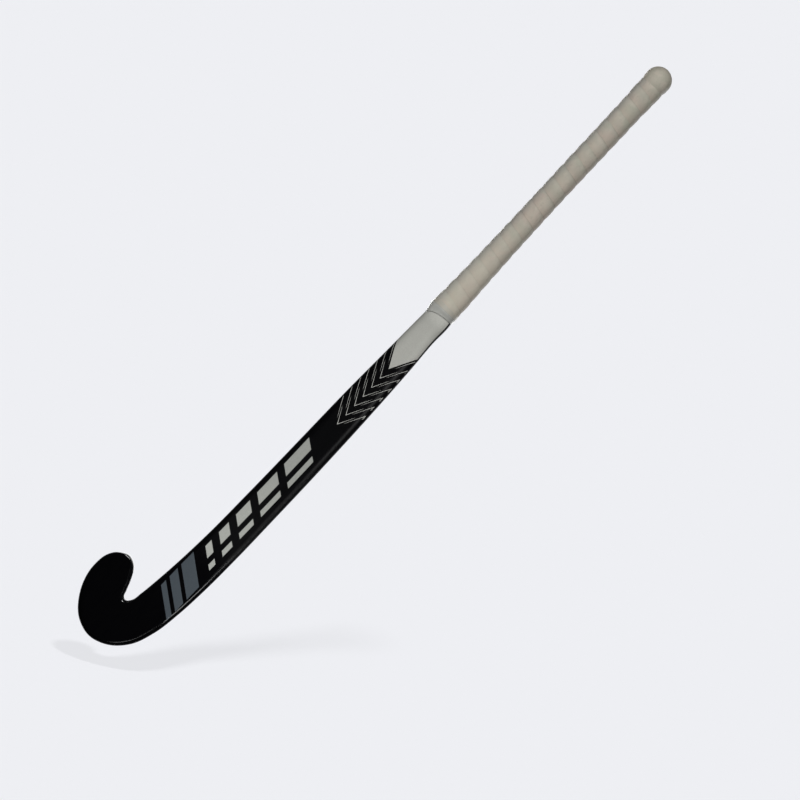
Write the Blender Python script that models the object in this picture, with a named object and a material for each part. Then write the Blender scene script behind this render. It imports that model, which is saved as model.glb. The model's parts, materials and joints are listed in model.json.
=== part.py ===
# Field hockey stick: a hollow laminate body with a foam core in the hook, a plugged and damped handle,
# and a cushioned strip wound over it as a grip.
#
# +Z runs up the handle, the flat playing face looks toward -Y and the toe of the hook points toward -X.
# Heights in this file are measured from the lowest point of the hook. Every piece is then set down by
# hold_height, so that the world origin lies inside the grip, where the hands hold it.

import math

import bpy
import bmesh
from mathutils import Vector

mm = 0.001

# Driving sizes of the whole stick. The hook is measured up from its lowest point, the grip down from the
# butt end.
stick_length = 927 * mm
grip_length = 376 * mm
hook_top = 123 * mm
hold_drop = 187 * mm
fit_gap = 0.3 * mm

# Bow of the face: it leaves the plane of the hook, peaks low on the shaft and runs back to the handle
bow_depth = 24 * mm
bow_start = 50 * mm
bow_peak = 285 * mm
bow_softness = 0.3

# Butt cap: a domed knob with a skirt outside the laminate and a spigot inside it
cap_cover = 8 * mm
knob_radius = 16.0 * mm
knob_height = 22.5 * mm
knob_draft = 0.2 * mm
neck_drop = 3.5 * mm
skirt_length = 39 * mm
skirt_swell = 1.0 * mm
swell_lead = 4 * mm
swell_margin = 4 * mm
spigot_radius = 4.0 * mm
spigot_length = 35 * mm
plug_length = 47 * mm

# Laminate body
face_wall = 3.6 * mm
shaft_wall = 2.8 * mm
toe_wall = 9 * mm
web_thickness = 2.4 * mm
web_offset = 1.0 * mm
web_rise = 5 * mm

# Foam core of the hook, and how far below its top the walls reach the face's thickness
core_top = 168 * mm
wall_fade = 68 * mm

# Grip: a thin cushion sleeve, then the wound strip
underlay_thickness = 0.8 * mm
wrap_thickness = 1.5 * mm
wrap_pitch = 18.0 * mm
wrap_gap = 0.6 * mm
wrap_edge = 0.7 * mm
seam_drop = 45.3 * mm
least_strip = 2.0 * mm

# Finishing tape over the end of the wrap, its lower edge drawn down toward the toe side
tape_lap = 6 * mm
tape_thickness = 0.45 * mm
tape_reach_toe = 15 * mm
tape_reach_heel = 6.5 * mm
tape_sweep = 3

# Damper in the hollow handle
damper_length = 119 * mm
damper_wall = 3.5 * mm
damper_gap = 0.5 * mm
damper_rest = 1.0 * mm

# Heights that follow from these sizes
laminate_top = stick_length - cap_cover
shoulder_height = stick_length - knob_height
wrap_top = shoulder_height - neck_drop
skirt_foot = wrap_top - skirt_length
swell_start = skirt_foot - swell_lead
swell_end = wrap_top - swell_margin
spigot_foot = laminate_top - spigot_length
plug_foot = laminate_top - plug_length
seam_height = wrap_top - seam_drop
grip_foot = stick_length - grip_length
tape_top = grip_foot + tape_lap
web_top = grip_foot + web_rise
damper_foot = web_top + damper_rest
damper_top = damper_foot + damper_length
hold_height = stick_length - hold_drop

# Fineness of the mesh: points round a handle piece, and round the back, each corner and the face of the body
round_steps = 24
outer_steps = (12, 3, 4)
inner_steps = (10, 4, 2)
dome_steps = 6
sleeve_step = 15 * mm
skirt_step = 12 * mm
damper_step = 15 * mm
least_edge = 1.2 * mm

# How far the cutters reach past what they cut
mouth_reach = 12 * mm
web_reach = 60 * mm

# Colours, read from the photograph
lacquer_black = (0.006, 0.006, 0.007)
grip_grey = (0.40, 0.385, 0.33)
tape_grey = (0.36, 0.36, 0.34)
foam_cream = (0.72, 0.64, 0.42)
rubber_dark = (0.03, 0.03, 0.035)
plug_grey = (0.22, 0.22, 0.21)
sleeve_grey = (0.15, 0.15, 0.15)


# Outline of the laminate, in millimetres from the handle's axis. A row of the grip or the shaft is its share
# of the way up that stretch, then its heel side and its toe side, so both follow the stick's length.
grip_rows = [
    (1.0, 11.4, -10.8),
    (0.84, 11.3, -11.3),
    (0.44, 10.8, -11.3),
    (0.24, 11.8, -11.6),
    (0.13, 12.9, -12.3),
    (0.05, 13.9, -13.2),
    (0.0, 14.2, -14.0),
]
shaft_rows = [
    (0.985, 16.8, -14.4),
    (0.97, 17.5, -14.6),
    (0.92, 17.1, -15.2),
    (0.835, 18.8, -16.3),
    (0.65, 21.2, -18.6),
    (0.46, 22.1, -19.6),
    (0.275, 22.3, -20.4),
    (0.135, 22.7, -21.0),
    (0.0, 21.7, -23.9),
]

# Round the hook a row is a point of its heel side and one of its toe side, each with its height
hook_rows = [
    ((19.2, 88.0), (-26.4, 96.0)),
    ((13.8, 54.0), (-28.8, 77.0)),
    ((2.7, 26.0), (-31.6, 63.6)),
    ((-17.4, 6.6), (-34.8, 59.8)),
    ((-40.0, 0.0), (-37.7, 58.9)),
    ((-62.0, 7.2), (-40.6, 60.8)),
    ((-79.7, 26.3), (-43.4, 67.6)),
    ((-91.0, 63.0), (-47.6, 79.0)),
    ((-87.4, 84.0), (-52.4, 88.8)),
    ((-79.6, 93.9), (-58.4, 95.4)),
]
toe_tip = (-67.5, 98.9)
row_steps = [2, 4, 3, 2, 2, 2] + [1, 1, 2, 2, 4, 3, 4, 3, 4] + [3] * 10 + [5]

# How the section changes along the body, as (station, value). Stations count 0 at the top of the laminate,
# 1 at the grip's foot, 2 where the hook starts and 3 at the toe. Values are millimetres, except for fullness.
depth_profile = [(0.9, 25.5), (1.0, 26.4), (1.06, 27.2), (1.36, 25.5), (1.78, 23.5), (2.0, 22), (2.8, 19.5)]
rim_profile = [(1.0, 12.7), (1.12, 10.5), (1.36, 8.5), (1.78, 7.5), (2.0, 6.5), (2.8, 6.0)]
edge_profile = [(1.0, 16.0), (1.17, 11.0), (1.45, 8.5), (1.82, 7.0), (2.0, 5.0), (2.8, 4.5)]
setback_profile = [(1.0, 2.9), (1.05, 0.0)]
fullness_profile = [(1.0, 2.0), (1.36, 2.3), (2.8, 2.4)]
tip_rounding = 15 * mm


def ease(t):
    t = min(max(t, 0.0), 1.0)
    return t * t * (3 - 2 * t)


def read_profile(profile, station):
    for (near, low), (far, high) in zip(profile, profile[1:]):
        if station <= far:
            return low + (high - low) * ease((station - near) / (far - near))
    return profile[-1][1]


def station_of(travelled, total):
    marks = [0.0, laminate_top - grip_foot, laminate_top - hook_top, total]
    for i, (start, end) in enumerate(zip(marks, marks[1:])):
        if travelled <= end:
            return i + (travelled - start) / (end - start)
    return 3.0


def bow_at(height):
    if height <= bow_peak:
        return bow_depth * ease((height - bow_start) / (bow_peak - bow_start))
    t = (height - bow_peak) / (stick_length - bow_peak)
    fall = math.hypot(t, bow_softness) - bow_softness
    return bow_depth * (1 - fall / (math.hypot(1, bow_softness) - bow_softness))


def smooth_through(points, steps, after):
    # Hermite curve through the points, parameter spaced by chord, tangents held back where a run is monotone
    chain = [points[0] * 2 - points[1]] + points + [after]
    lengths = [(b - a).length for a, b in zip(chain, chain[1:])]
    slopes = [(b - a) / d for a, b, d in zip(chain, chain[1:], lengths)]
    tangents = []
    for i in range(len(points)):
        d0, d1, s0, s1 = lengths[i], lengths[i + 1], slopes[i], slopes[i + 1]
        tangent = (s1 * d0 + s0 * d1) / (d0 + d1)
        for k in range(2):
            if s0[k] * s1[k] > 0:
                limit = 3 * min(abs(s0[k]), abs(s1[k]))
                tangent[k] = max(-limit, min(limit, tangent[k]))
        tangents.append(tangent)
    path = []
    for i, count in enumerate(steps):
        a, b, span = points[i], points[i + 1], lengths[i + 1]
        for j in range(count):
            t = j / count
            path.append(a * (2 * t**3 - 3 * t**2 + 1) + b * (3 * t**2 - 2 * t**3)
                        + tangents[i] * span * (t**3 - 2 * t**2 + t) + tangents[i + 1] * span * (t**3 - t**2))
    path.append(points[-1])
    return path


class Section:
    # One slice across the body, from its heel side edge to its toe side edge
    def __init__(self, heel_edge, toe_edge, station, past_bottom, tip_distance):
        self.middle = (heel_edge + toe_edge) / 2
        self.half = (heel_edge - toe_edge).length / 2
        self.across = (heel_edge - toe_edge).normalized()
        self.past_bottom = past_bottom
        self.tip_distance = tip_distance
        self.setback = read_profile(setback_profile, station) * mm
        self.rim = read_profile(rim_profile, station) * mm
        self.depth = read_profile(depth_profile, station) * mm
        self.edge = read_profile(edge_profile, station) * mm
        self.fullness = read_profile(fullness_profile, station)
        closing = min(tip_distance / tip_rounding, 1.0)
        self.back_scale = math.sqrt(1 - (1 - closing) ** 2)
        closing = min(tip_distance / self.edge, 1.0)
        self.face_scale = math.sqrt(1 - (1 - closing) ** 2)

    def place(self, across, deep):
        spot = self.middle + self.across * across
        bow = 0.0 if self.past_bottom else bow_at(spot.y)
        return Vector((spot.x, bow + self.setback + deep, spot.y))

    def ring(self, inset, steps):
        back_steps, corner_steps, face_steps = steps
        half = self.half - inset
        edge = min(max(self.edge - inset, least_edge), half)
        face = self.rim - (self.rim - inset) * self.face_scale
        back = self.rim + (self.depth - self.rim - inset) * self.back_scale
        points = []
        for i in range(back_steps + 1):
            turn = math.pi * i / back_steps
            side, rise = math.cos(turn), abs(math.sin(turn))
            reach = math.copysign(abs(side) ** (2 / self.fullness), side)
            deep = self.rim + (back - self.rim) * rise ** (2 / self.fullness)
            points.append(self.place(-half * reach, deep))
        corner = []
        for i in range(1, corner_steps + 1):
            turn = math.pi / 2 * (1 - i / corner_steps)
            deep = self.rim - (self.rim - face) * math.cos(turn)
            corner.append((half - edge + edge * math.sin(turn), deep))
        points += [self.place(reach, deep) for reach, deep in corner]
        flat = half - edge
        points += [self.place(flat * (1 - 2 * i / face_steps), face) for i in range(1, face_steps)]
        points += [self.place(-reach, deep) for reach, deep in reversed(corner)]
        return points


def body_rows():
    # Heel side and toe side points, from the top of the laminate to the toe
    rows = []
    for foot, top, stretch in ((grip_foot, laminate_top, grip_rows), (hook_top, grip_foot, shaft_rows)):
        for share, heel, toe in stretch:
            height = foot + (top - foot) * share
            rows.append((Vector((heel * mm, height)), Vector((toe * mm, height))))
    return rows + [(Vector(heel) * mm, Vector(toe) * mm) for heel, toe in hook_rows]


def body_sections():
    rows = body_rows()
    tip = Vector(toe_tip) * mm
    heel_edge = smooth_through([heel for heel, toe in rows] + [tip], row_steps, rows[-1][1])
    toe_edge = smooth_through([toe for heel, toe in rows] + [tip], row_steps, rows[-1][0])
    lowest = min(range(len(heel_edge)), key=lambda i: heel_edge[i].y)
    middles = [(heel + toe) / 2 for heel, toe in zip(heel_edge, toe_edge)]
    travelled = [0.0]
    for a, b in zip(middles, middles[1:]):
        travelled.append(travelled[-1] + (b - a).length)
    made = []
    for i in range(len(middles) - 1):
        station = station_of(travelled[i], travelled[-1])
        made.append(Section(heel_edge[i], toe_edge[i], station, i >= lowest, (tip - middles[i]).length))
    return made, Vector((tip.x, made[-1].rim, tip.y))


sections, tip_point = body_sections()


def material(name, colour, roughness):
    made = bpy.data.materials.new(name)
    made.use_nodes = True
    shader = made.node_tree.nodes["Principled BSDF"]
    shader.inputs["Base Color"].default_value = (*colour, 1.0)
    shader.inputs["Roughness"].default_value = roughness
    shader.inputs["Metallic"].default_value = 0.0
    return made


def loft(name, rings, closed_round, start_cap, end_cap, end_point=None):
    # Skin the rings one to the next; a cap is a face over the first or last ring, or a fan to one point
    mesh = bpy.data.meshes.new(name)
    build = bmesh.new()
    rows = [[build.verts.new(p) for p in ring] for ring in rings]
    if closed_round:
        rows.append(rows[0])
    for row, after in zip(rows, rows[1:]):
        for i in range(len(row)):
            j = (i + 1) % len(row)
            build.faces.new((row[i], row[j], after[j], after[i]))
    if start_cap:
        build.faces.new(list(reversed(rows[0])))
    if end_cap:
        build.faces.new(rows[-1])
    if end_point is not None:
        pole = build.verts.new(end_point)
        for i in range(len(rows[-1])):
            build.faces.new((rows[-1][i], rows[-1][(i + 1) % len(rows[-1])], pole))
    bmesh.ops.recalc_face_normals(build, faces=build.faces[:])
    build.to_mesh(mesh)
    build.free()
    return bpy.data.objects.new(name, mesh)


# Collections: the stick, and the shapes that cut it
for old in list(bpy.data.objects):
    bpy.data.objects.remove(old)
stick = bpy.data.collections.new("hockey_stick")
cutters = bpy.data.collections.new("cutters")
bpy.context.scene.collection.children.link(stick)
bpy.context.scene.collection.children.link(cutters)


def keep(piece, colour, roughness, sharp_degrees=35):
    piece.data.materials.append(material(piece.name, colour, roughness))
    piece.location = (0, 0, -hold_height)
    stick.objects.link(piece)
    piece.data.shade_smooth()
    piece.data.set_sharp_from_angle(angle=math.radians(sharp_degrees))
    return piece


def keep_cutter(piece):
    piece.location = (0, 0, -hold_height)
    piece.hide_render = True
    piece.display_type = "WIRE"
    cutters.objects.link(piece)
    return piece


def cut(piece, cutter):
    change = piece.modifiers.new("cut_" + cutter.name, "BOOLEAN")
    change.operation = "DIFFERENCE"
    change.object = cutter


# Laminate body. Its hollow follows the same sections, one wall further in, and stops short of the toe.
def wall_at(section):
    return shaft_wall + (face_wall - shaft_wall) * ease((core_top - section.middle.y) / wall_fade)


def inner_ring(section, clearance):
    return section.ring(wall_at(section) + clearance, inner_steps)


outer_rings = [s.ring(0.0, outer_steps) for s in sections]
shell = loft("composite_shell", outer_rings, False, True, False, tip_point)
keep(shell, lacquer_black, 0.22, 50)

hollow_sections = [s for s in sections if s.tip_distance >= toe_wall]
hollow_rings = [inner_ring(s, 0.0) for s in hollow_sections]
mouth = [p + Vector((0, 0, mouth_reach)) for p in hollow_rings[0]]
hollow = keep_cutter(loft("hollow", [mouth] + hollow_rings, False, True, True))

# The web is what the hollow leaves standing between the two chambers
web_foot = core_top + fit_gap
bpy.ops.mesh.primitive_cube_add(size=1)
web = bpy.context.object
web.name = "web_space"
for home in list(web.users_collection):
    home.objects.unlink(web)
keep_cutter(web)
web.scale = (web_thickness, 2 * web_reach, web_top - web_foot)
web.location = (web_offset, 0, (web_top + web_foot) / 2 - hold_height)
cut(hollow, web)
cut(shell, hollow)

# Foam core, one fit gap inside the hollow
core_sections = [s for s in hollow_sections[:-1] if s.past_bottom or s.middle.y < core_top]
core_rings = [inner_ring(s, fit_gap) for s in core_sections]
keep(loft("head_core", core_rings, False, True, True), foam_cream, 0.9, 50)


# Handle pieces are ovals round the same axis as the laminate's handle
def handle_section(height):
    row = [s for s in sections if not s.past_bottom]
    for above, below in zip(row, row[1:]):
        if height >= below.middle.y:
            break
    t = (above.middle.y - height) / (above.middle.y - below.middle.y)
    middle_x = above.middle.x + (below.middle.x - above.middle.x) * t
    half = above.half + (below.half - above.half) * t
    front = bow_at(height) + above.setback + (below.setback - above.setback) * t
    deep = above.depth + (below.depth - above.depth) * t
    rim = above.rim + (below.rim - above.rim) * t
    return middle_x, half, front, front + rim, front + deep


def handle_point(height, angle, offset):
    middle_x, half, front, rim, back = handle_section(height)
    side, rise = math.cos(angle), math.sin(angle)
    reach = (back - rim + offset) if rise > 0 else (rim - front + offset)
    return Vector((middle_x + (half + offset) * side, rim + reach * rise, height))


def round_angles():
    return [2 * math.pi * i / round_steps for i in range(round_steps)]


def handle_ring(height, offset):
    return [handle_point(height, angle, offset) for angle in round_angles()]


def tube(name, outside, inside):
    # Closed sleeve from two lists of (height, offset), both from top to bottom
    rings = [handle_ring(h, o) for h, o in outside] + [handle_ring(h, o) for h, o in reversed(inside)]
    return loft(name, rings, True, False, False)


def heights(top, foot, longest):
    count = max(1, math.ceil((top - foot) / longest))
    return [top + (foot - top) * i / count for i in range(count + 1)]


def under_wrap(height):
    swell = skirt_swell * ease((height - swell_start) / (swell_end - swell_start))
    return fit_gap + underlay_thickness + swell


# Cushion sleeve under the wrap, from the cap's skirt to the grip's foot
sleeve_heights = heights(skirt_foot - fit_gap, grip_foot, sleeve_step)
sleeve_outside = [(h, under_wrap(h)) for h in sleeve_heights]
sleeve_inside = [(h, fit_gap) for h in sleeve_heights]
keep(tube("grip_underlay", sleeve_outside, sleeve_inside), sleeve_grey, 0.9)


# Wound strip: its seams rise toward the toe across the face, and both ends are cut square to the handle
def strip_slice(turned):
    angle = -math.pi / 2 - turned
    middle = seam_height + wrap_pitch * (turned / (2 * math.pi) + 0.5)
    high = min(middle + (wrap_pitch - wrap_gap) / 2, wrap_top)
    low = max(middle - (wrap_pitch - wrap_gap) / 2, grip_foot)
    edge = min(wrap_edge, (high - low) / 3)
    layers = [
        (low, 0.0),
        (low, wrap_thickness - edge),
        (low + edge, wrap_thickness),
        (high - edge, wrap_thickness),
        (high, wrap_thickness - edge),
        (high, 0.0),
    ]
    return [handle_point(h, angle, under_wrap(h) + fit_gap + rise) for h, rise in layers]


def least_gap(slices):
    # Least distance between the points of a turn and those of the turn over it
    found = []
    for i in range(len(slices) - round_steps - 1):
        for over in slices[i + round_steps - 1:i + round_steps + 2]:
            found.append(min((a - b).length for a in slices[i] for b in over))
    return min(found)


reach_down = seam_height + wrap_pitch / 2 - grip_foot + (wrap_pitch - wrap_gap) / 2 - least_strip
reach_up = wrap_top - seam_height - wrap_pitch / 2 + (wrap_pitch - wrap_gap) / 2 - least_strip
first_step = -math.floor(reach_down / wrap_pitch * round_steps)
last_step = math.floor(reach_up / wrap_pitch * round_steps)
strip = [strip_slice(2 * math.pi * i / round_steps) for i in range(first_step, last_step + 1)]
keep(loft("grip_wrap", strip, False, True, True), grip_grey, 0.7, 50)
turns = (last_step - first_step) / round_steps
print(f"wrap: {turns:.1f} turns, least gap between turns {least_gap(strip) / mm:.2f} mm, measured on points")

# Finishing tape: round the last turn, then drawn in to the bare shaft. Its rings are shares of the lap over
# the wrap, below zero, and of the reach down the shaft, above zero.
tape_shares = [-1.0, -0.35, 0.0, 1 / 3, 2 / 3, 1.0]
wrap_end = grip_foot - fit_gap
over_wrap = under_wrap(grip_foot) + wrap_thickness + 2 * fit_gap


def tape_ring(share, lift):
    ring = []
    for angle in round_angles():
        toward_toe = ((1 - math.cos(angle)) / 2) ** tape_sweep
        reach = tape_reach_heel + (tape_reach_toe - tape_reach_heel) * toward_toe
        if share <= 0:
            height = wrap_end - (tape_top - wrap_end) * share
            offset = over_wrap
        else:
            height = wrap_end - (reach - fit_gap) * share
            offset = over_wrap + (fit_gap - over_wrap) * ease(share)
        ring.append(handle_point(height, angle, offset + lift))
    return ring


outer_tape = [tape_ring(share, tape_thickness) for share in tape_shares]
inner_tape = [tape_ring(share, 0.0) for share in reversed(tape_shares)]
keep(loft("finishing_tape", outer_tape + inner_tape, True, False, False), tape_grey, 0.6)


# Butt cap: a dome, a rim, a neck under the wrap, the skirt, and inside it a spigot down the middle
def round_ring(height, radius):
    middle_x, half, front, rim, back = handle_section(height)
    centre_y = (front + back) / 2
    spots = [(math.cos(angle), math.sin(angle)) for angle in round_angles()]
    return [Vector((middle_x + radius * x, centre_y + radius * y, height)) for x, y in spots]


rim_reach = knob_radius - handle_section(laminate_top)[1]
dome_foot = stick_length - knob_radius
cap_rings = []
for step in range(1, dome_steps + 1):
    turn = math.pi / 2 * step / dome_steps
    height = dome_foot + knob_radius * math.cos(turn)
    cap_rings.append(handle_ring(height, rim_reach - knob_radius * (1 - math.sin(turn))))
neck_offset = under_wrap(wrap_top)
cap_rings.append(handle_ring(shoulder_height, rim_reach - knob_draft))
cap_rings.append(handle_ring(wrap_top + fit_gap, neck_offset + wrap_thickness))
cap_rings.append(handle_ring(wrap_top + fit_gap, neck_offset))
cap_rings += [handle_ring(h, under_wrap(h)) for h in heights(swell_end, skirt_foot, skirt_step)]
cap_rings += [handle_ring(h, fit_gap) for h in (skirt_foot, laminate_top + fit_gap)]
cap_rings += [round_ring(h, spigot_radius) for h in (laminate_top + fit_gap, spigot_foot)]
crown_point = handle_section(stick_length)
cap = loft("butt_cap", list(reversed(cap_rings)), False, True, False,
           Vector((crown_point[0], (crown_point[2] + crown_point[4]) / 2, stick_length)))
keep(cap, grip_grey, 0.6)

# Plug bonded into the open top of the laminate, with a hole for the spigot
plug_side = -(shaft_wall + fit_gap)
plug_outside = [handle_ring(h, plug_side) for h in (laminate_top - fit_gap, plug_foot)]
plug_inside = [round_ring(h, spigot_radius + fit_gap) for h in (plug_foot, laminate_top - fit_gap)]
keep(loft("handle_plug", plug_outside + plug_inside, True, False, False), plug_grey, 0.8)

# Rubber damper in the hollow handle, resting on the end of the web
damper_heights = heights(damper_top, damper_foot, damper_step)
keep(tube("damping_insert", [(h, -(shaft_wall + damper_gap)) for h in damper_heights],
          [(h, -(shaft_wall + damper_gap + damper_wall)) for h in damper_heights]), rubber_dark, 0.7)
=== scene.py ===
import json
import math

import bpy
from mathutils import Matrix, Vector, noise

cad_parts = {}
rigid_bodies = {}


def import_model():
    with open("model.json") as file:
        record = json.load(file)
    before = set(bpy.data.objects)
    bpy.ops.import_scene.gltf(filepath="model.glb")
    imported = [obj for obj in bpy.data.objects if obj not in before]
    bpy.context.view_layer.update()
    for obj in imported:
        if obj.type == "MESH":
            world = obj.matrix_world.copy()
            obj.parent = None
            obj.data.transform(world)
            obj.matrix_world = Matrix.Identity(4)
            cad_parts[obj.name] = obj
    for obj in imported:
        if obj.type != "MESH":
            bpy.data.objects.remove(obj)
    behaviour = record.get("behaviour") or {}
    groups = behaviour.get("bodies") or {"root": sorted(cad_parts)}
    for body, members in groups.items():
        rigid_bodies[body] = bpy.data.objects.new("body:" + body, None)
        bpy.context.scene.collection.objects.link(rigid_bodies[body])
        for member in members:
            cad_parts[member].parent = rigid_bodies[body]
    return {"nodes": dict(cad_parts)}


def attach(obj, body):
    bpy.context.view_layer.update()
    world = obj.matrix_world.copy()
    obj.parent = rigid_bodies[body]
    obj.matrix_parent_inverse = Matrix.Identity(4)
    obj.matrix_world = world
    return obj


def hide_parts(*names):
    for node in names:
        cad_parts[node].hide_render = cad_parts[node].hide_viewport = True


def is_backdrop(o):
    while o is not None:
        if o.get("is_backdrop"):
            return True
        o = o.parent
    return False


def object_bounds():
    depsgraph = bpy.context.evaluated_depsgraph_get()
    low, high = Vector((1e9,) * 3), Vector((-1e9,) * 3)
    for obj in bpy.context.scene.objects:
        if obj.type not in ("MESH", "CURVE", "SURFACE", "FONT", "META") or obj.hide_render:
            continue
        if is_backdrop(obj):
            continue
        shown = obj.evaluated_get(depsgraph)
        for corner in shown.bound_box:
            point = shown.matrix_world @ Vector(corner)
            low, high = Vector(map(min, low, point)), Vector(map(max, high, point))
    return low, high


# Field hockey stick, upright: +Z up the handle, the flat face toward -Y, the toe of the hook toward -X.
# Heights below are measured from the hook's lowest point and set down by holdHeight at the end.
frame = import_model()
cadLow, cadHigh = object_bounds()
nodes = frame["nodes"]
mm = 0.001
print("frame loaded")

stickSizes = {
    "length": 927 * mm,
    "gripLength": 376 * mm,
    "hookTop": 123 * mm,
    "holdHeight": 740 * mm,
    "fitGap": 0.3 * mm,
    "bowDepth": 24 * mm,
    "bowStart": 50 * mm,
    "bowPeak": 285 * mm,
    "bowSoftness": 0.3,
}
holdHeight = stickSizes["holdHeight"]
gripFoot = stickSizes["length"] - stickSizes["gripLength"]


def ease(t):
    t = min(max(t, 0.0), 1.0)
    return t * t * (3 - 2 * t)


def readProfile(profile, station):
    for (near, low), (far, high) in zip(profile, profile[1:]):
        if station <= far:
            return low + (high - low) * ease((station - near) / (far - near))
    return profile[-1][1]


def bowAt(height):
    peak, soft = stickSizes["bowPeak"], stickSizes["bowSoftness"]
    if height <= peak:
        start = stickSizes["bowStart"]
        return stickSizes["bowDepth"] * ease((height - start) / (peak - start))
    t = (height - peak) / (stickSizes["length"] - peak)
    fall = (math.hypot(t, soft) - soft) / (math.hypot(1, soft) - soft)
    return stickSizes["bowDepth"] * (1 - fall)


# Shader maths: a Wire is one output socket, and sums or products of wires add their Math nodes
class Wire:
    def __init__(self, finish, socket):
        self.finish = finish
        self.socket = socket

    def join(self, operation, *others):
        sockets = dict(enumerate((self,) + others))
        return self.finish.node("Math", {"operation": operation}, sockets)

    def __add__(self, other):
        return self.join("ADD", other)

    def __sub__(self, other):
        return self.join("SUBTRACT", other)

    def __mul__(self, other):
        return self.join("MULTIPLY", other)

    def __rsub__(self, other):
        return self.finish.node("Math", {"operation": "SUBTRACT"}, {0: other, 1: self})

    def __abs__(self):
        return self.join("ABSOLUTE")

    __radd__ = __add__
    __rmul__ = __mul__


class Wiring:
    def __init__(self, tree):
        self.tree = tree

    def feed(self, socket, value):
        if isinstance(value, Wire):
            self.tree.links.new(value.socket, socket)
        else:
            socket.default_value = value

    def node(self, kind, settings=None, sockets=None, output=0):
        made = self.tree.nodes.new("ShaderNode" + kind)
        for name, value in (settings or {}).items():
            setattr(made, name, value)
        for name, value in (sockets or {}).items():
            self.feed(made.inputs[name], value)
        return Wire(self, made.outputs[output])

    def objectPlace(self):
        return self.node("TexCoord", output="Object")

    def axes(self, vector):
        split = self.node("SeparateXYZ", None, {0: vector})
        return [Wire(self, socket) for socket in split.socket.node.outputs]

    def stretched(self, vector, x, y, z):
        return self.node("VectorMath", {"operation": "MULTIPLY"}, {0: vector, 1: (x, y, z)})

    def grain(self, vector, scale, detail=2.0, roughness=0.5, distortion=0.0):
        sockets = {"Vector": vector, "Scale": scale, "Detail": detail, "Roughness": roughness}
        return self.node("TexNoise", None, {**sockets, "Distortion": distortion})

    def rise(self, value, low, high):  # 0 below low, 1 above high
        sockets = {0: value, 1: low, 2: high, 3: 0.0, 4: 1.0}
        return self.node("MapRange", {"interpolation_type": "SMOOTHSTEP"}, sockets)

    def between(self, value, low, high, soft):
        return self.rise(value, low - soft, low + soft) * (1 - self.rise(value, high - soft, high + soft))

    def tint(self, share, low, high):
        return self.node("Mix", {"data_type": "RGBA"}, {0: share, 6: low, 7: high}, 2)

    def bump(self, height, distance, strength=1.0, normal=None):
        sockets = {"Height": height, "Distance": distance, "Strength": strength}
        if normal:
            sockets["Normal"] = normal
        return self.node("Bump", None, sockets)


class Finish(Wiring):
    # One material; what is the same all over goes straight onto the shader's own sockets
    def __init__(self, name, constants):
        self.material = bpy.data.materials.new(name)
        self.material.use_nodes = True
        super().__init__(self.material.node_tree)
        self.shader = self.tree.nodes["Principled BSDF"]
        for socket, value in constants.items():
            self.shader.inputs[socket].default_value = value

    def drive(self, socket, value):
        self.feed(self.shader.inputs[socket], value)


def paint(red, green, blue):  # a colour as a screen shows it, 0 to 255
    def straight(value):
        value = value / 255
        return value / 12.92 if value <= 0.04045 else ((value + 0.055) / 1.055) ** 2.4
    return (straight(red), straight(green), straight(blue), 1.0)


# Every skin starts as a grid that is rolled round the stick, its seam welded and its ends closed
def rolledSkin(name, around, along, spotAt, closed=True):
    bpy.ops.object.select_all(action="DESELECT")
    bpy.ops.mesh.primitive_grid_add(x_subdivisions=around, y_subdivisions=along, size=1)
    skin = bpy.context.object
    skin.name = name
    skin.data.name = name
    for vertex in skin.data.vertices:
        i = round((vertex.co.x + 0.5) * around)
        j = round((vertex.co.y + 0.5) * along)
        vertex.co = spotAt(i, j) - Vector((0, 0, holdHeight))
    bpy.ops.object.mode_set(mode="EDIT")
    bpy.ops.mesh.select_all(action="SELECT")
    bpy.ops.mesh.remove_doubles(threshold=0.01 * mm)
    if closed:
        bpy.ops.mesh.select_all(action="DESELECT")
        bpy.ops.mesh.select_mode(type="EDGE")
        bpy.ops.mesh.select_non_manifold(extend=False)
        bpy.ops.mesh.fill_holes(sides=0)
        bpy.ops.mesh.select_mode(type="VERT")
    bpy.ops.mesh.select_all(action="SELECT")
    bpy.ops.mesh.normals_make_consistent(inside=False)
    bpy.ops.mesh.select_all(action="DESELECT")
    bpy.ops.object.mode_set(mode="OBJECT")
    return skin


def bridgeRims():  # a wall rolled down the outside and up the inside is joined along its two rims
    bpy.ops.object.mode_set(mode="EDIT")
    bpy.ops.mesh.select_all(action="DESELECT")
    bpy.ops.mesh.select_mode(type="EDGE")
    bpy.ops.mesh.select_non_manifold(extend=False)
    bpy.ops.mesh.bridge_edge_loops()
    bpy.ops.mesh.select_all(action="SELECT")
    bpy.ops.mesh.normals_make_consistent(inside=False)
    bpy.ops.mesh.select_mode(type="VERT")
    bpy.ops.object.mode_set(mode="OBJECT")


def finishPiece(piece, finish, slot, *replaced, sharp=40):
    bpy.ops.object.select_all(action="DESELECT")
    piece.select_set(True)
    bpy.context.view_layer.objects.active = piece
    bpy.ops.object.shade_smooth_by_angle(angle=math.radians(sharp))
    piece.data.materials.clear()
    piece.data.materials.append(finish.material)
    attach(piece, "root")
    if replaced:
        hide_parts(*replaced)


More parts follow.
